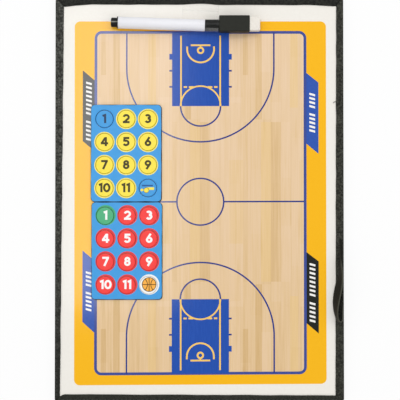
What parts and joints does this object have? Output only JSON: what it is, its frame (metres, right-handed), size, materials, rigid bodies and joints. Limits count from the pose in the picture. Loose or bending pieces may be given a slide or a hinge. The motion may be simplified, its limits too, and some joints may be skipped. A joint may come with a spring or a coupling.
{
  "type": "tactics board",
  "caption": "Bound dry-erase basketball tactics board with a marker in a clear sleeve, sheets of numbered magnet discs and a wrist loop.",
  "frame": {"origin": "under the middle of the board, on the plane that its back rests on", "axes": "+X to the board's right, +Y to its top where the marker is, +Z out of the court face"},
  "size_m": [0.2206, 0.309, 0.0154],
  "materials": {
    "cover_leatherette": "fine-grained black leatherette",
    "binding_leatherette": "black leatherette tape, stitched near its outer edge",
    "greyboard": "raw grey board",
    "sheet_steel": "thin rolled sheet",
    "court_paper": "printed court on white paper",
    "gloss_film": "clear glossy dry-erase film",
    "sleeve_film": "clear flexible film",
    "marker_white": "glossy white moulding",
    "marker_black": "glossy black moulding",
    "cap_black": "satin black moulding",
    "eraser_felt": "pressed white felt",
    "ink_core": "ink-soaked fibre",
    "holder_white": "plain moulding",
    "sheet_blue": "flexible magnet with a printed blue face",
    "disc_blue": "flexible magnet with a printed blue face",
    "disc_yellow": "flexible magnet with a printed yellow face",
    "disc_green": "flexible magnet with a printed green face",
    "disc_red": "flexible magnet with a printed red face",
    "disc_white": "flexible magnet with a printed white face",
    "strap_webbing": "narrow black woven strap"
  },
  "bodies": {
    "board": {"back_cover": "cover_leatherette", "core_board": "greyboard", "steel_sheet": "sheet_steel", "court_print": "court_paper", "dry_erase_film": "gloss_film", "binding_top": "binding_leatherette", "binding_bottom": "binding_leatherette", "binding_left": "binding_leatherette", "binding_right": "binding_leatherette", "pen_sleeve": "sleeve_film"},
    "loop": {"wrist_loop": "strap_webbing"},
    "marker": {"marker_barrel": "marker_white", "barrel_plug": "marker_black", "ink_reservoir": "ink_core", "nib_holder": "holder_white", "marker_nib": "ink_core"},
    "cap": {"cap_shell": "cap_black", "eraser_felt": "eraser_felt"},
    "upper_sheet": {"magnet_sheet_upper": "sheet_blue"},
    "lower_sheet": {"magnet_sheet_lower": "sheet_blue"},
    "home_01": {"home_disc_01": "disc_blue"},
    "home_02": {"home_disc_02": "disc_yellow"},
    "home_03": {"home_disc_03": "disc_yellow"},
    "home_04": {"home_disc_04": "disc_yellow"},
    "home_05": {"home_disc_05": "disc_yellow"},
    "home_06": {"home_disc_06": "disc_yellow"},
    "home_07": {"home_disc_07": "disc_yellow"},
    "home_08": {"home_disc_08": "disc_yellow"},
    "home_09": {"home_disc_09": "disc_yellow"},
    "home_10": {"home_disc_10": "disc_yellow"},
    "home_11": {"home_disc_11": "disc_yellow"},
    "whistle": {"whistle_disc": "disc_blue"},
    "away_01": {"away_disc_01": "disc_green"},
    "away_02": {"away_disc_02": "disc_red"},
    "away_03": {"away_disc_03": "disc_red"},
    "away_04": {"away_disc_04": "disc_red"},
    "away_05": {"away_disc_05": "disc_red"},
    "away_06": {"away_disc_06": "disc_red"},
    "away_07": {"away_disc_07": "disc_red"},
    "away_08": {"away_disc_08": "disc_red"},
    "away_09": {"away_disc_09": "disc_red"},
    "away_10": {"away_disc_10": "disc_red"},
    "away_11": {"away_disc_11": "disc_red"},
    "ball": {"ball_disc": "disc_white"}
  },
  "joints": [
    {"name": "loop_fold", "type": "hinge", "parent": "board", "child": "loop", "pos_m": [0.10905, -0.031, 0.0053], "axis": [0, 1, 0], "range_deg": [0, 90]},
    {"name": "marker_slide", "type": "slide", "parent": "board", "child": "marker", "axis": [0.9995, -0.0332, 0], "range_m": [0, 0.085]},
    {"name": "cap_pull", "type": "slide", "parent": "marker", "child": "cap", "axis": [0.9995, -0.0332, 0], "range_m": [0, 0.03]},
    {"name": "upper_sheet_lift", "type": "slide", "parent": "board", "child": "upper_sheet", "axis": [0, 0, 1], "range_m": [0, 0.03]},
    {"name": "lower_sheet_lift", "type": "slide", "parent": "board", "child": "lower_sheet", "axis": [0, 0, 1], "range_m": [0, 0.03]},
    {"name": "home_01_lift", "type": "slide", "parent": "upper_sheet", "child": "home_01", "axis": [0, 0, 1], "range_m": [0, 0.02]},
    {"name": "home_02_lift", "type": "slide", "parent": "upper_sheet", "child": "home_02", "axis": [0, 0, 1], "range_m": [0, 0.02]},
    {"name": "home_03_lift", "type": "slide", "parent": "upper_sheet", "child": "home_03", "axis": [0, 0, 1], "range_m": [0, 0.02]},
    {"name": "home_04_lift", "type": "slide", "parent": "upper_sheet", "child": "home_04", "axis": [0, 0, 1], "range_m": [0, 0.02]},
    {"name": "home_05_lift", "type": "slide", "parent": "upper_sheet", "child": "home_05", "axis": [0, 0, 1], "range_m": [0, 0.02]},
    {"name": "home_06_lift", "type": "slide", "parent": "upper_sheet", "child": "home_06", "axis": [0, 0, 1], "range_m": [0, 0.02]},
    {"name": "home_07_lift", "type": "slide", "parent": "upper_sheet", "child": "home_07", "axis": [0, 0, 1], "range_m": [0, 0.02]},
    {"name": "home_08_lift", "type": "slide", "parent": "upper_sheet", "child": "home_08", "axis": [0, 0, 1], "range_m": [0, 0.02]},
    {"name": "home_09_lift", "type": "slide", "parent": "upper_sheet", "child": "home_09", "axis": [0, 0, 1], "range_m": [0, 0.02]},
    {"name": "home_10_lift", "type": "slide", "parent": "upper_sheet", "child": "home_10", "axis": [0, 0, 1], "range_m": [0, 0.02]},
    {"name": "home_11_lift", "type": "slide", "parent": "upper_sheet", "child": "home_11", "axis": [0, 0, 1], "range_m": [0, 0.02]},
    {"name": "whistle_lift", "type": "slide", "parent": "upper_sheet", "child": "whistle", "axis": [0, 0, 1], "range_m": [0, 0.02]},
    {"name": "away_01_lift", "type": "slide", "parent": "lower_sheet", "child": "away_01", "axis": [0, 0, 1], "range_m": [0, 0.02]},
    {"name": "away_02_lift", "type": "slide", "parent": "lower_sheet", "child": "away_02", "axis": [0, 0, 1], "range_m": [0, 0.02]},
    {"name": "away_03_lift", "type": "slide", "parent": "lower_sheet", "child": "away_03", "axis": [0, 0, 1], "range_m": [0, 0.02]},
    {"name": "away_04_lift", "type": "slide", "parent": "lower_sheet", "child": "away_04", "axis": [0, 0, 1], "range_m": [0, 0.02]},
    {"name": "away_05_lift", "type": "slide", "parent": "lower_sheet", "child": "away_05", "axis": [0, 0, 1], "range_m": [0, 0.02]},
    {"name": "away_06_lift", "type": "slide", "parent": "lower_sheet", "child": "away_06", "axis": [0, 0, 1], "range_m": [0, 0.02]},
    {"name": "away_07_lift", "type": "slide", "parent": "lower_sheet", "child": "away_07", "axis": [0, 0, 1], "range_m": [0, 0.02]},
    {"name": "away_08_lift", "type": "slide", "parent": "lower_sheet", "child": "away_08", "axis": [0, 0, 1], "range_m": [0, 0.02]},
    {"name": "away_09_lift", "type": "slide", "parent": "lower_sheet", "child": "away_09", "axis": [0, 0, 1], "range_m": [0, 0.02]},
    {"name": "away_10_lift", "type": "slide", "parent": "lower_sheet", "child": "away_10", "axis": [0, 0, 1], "range_m": [0, 0.02]},
    {"name": "away_11_lift", "type": "slide", "parent": "lower_sheet", "child": "away_11", "axis": [0, 0, 1], "range_m": [0, 0.02]},
    {"name": "ball_lift", "type": "slide", "parent": "lower_sheet", "child": "ball", "axis": [0, 0, 1], "range_m": [0, 0.02]}
  ]
}
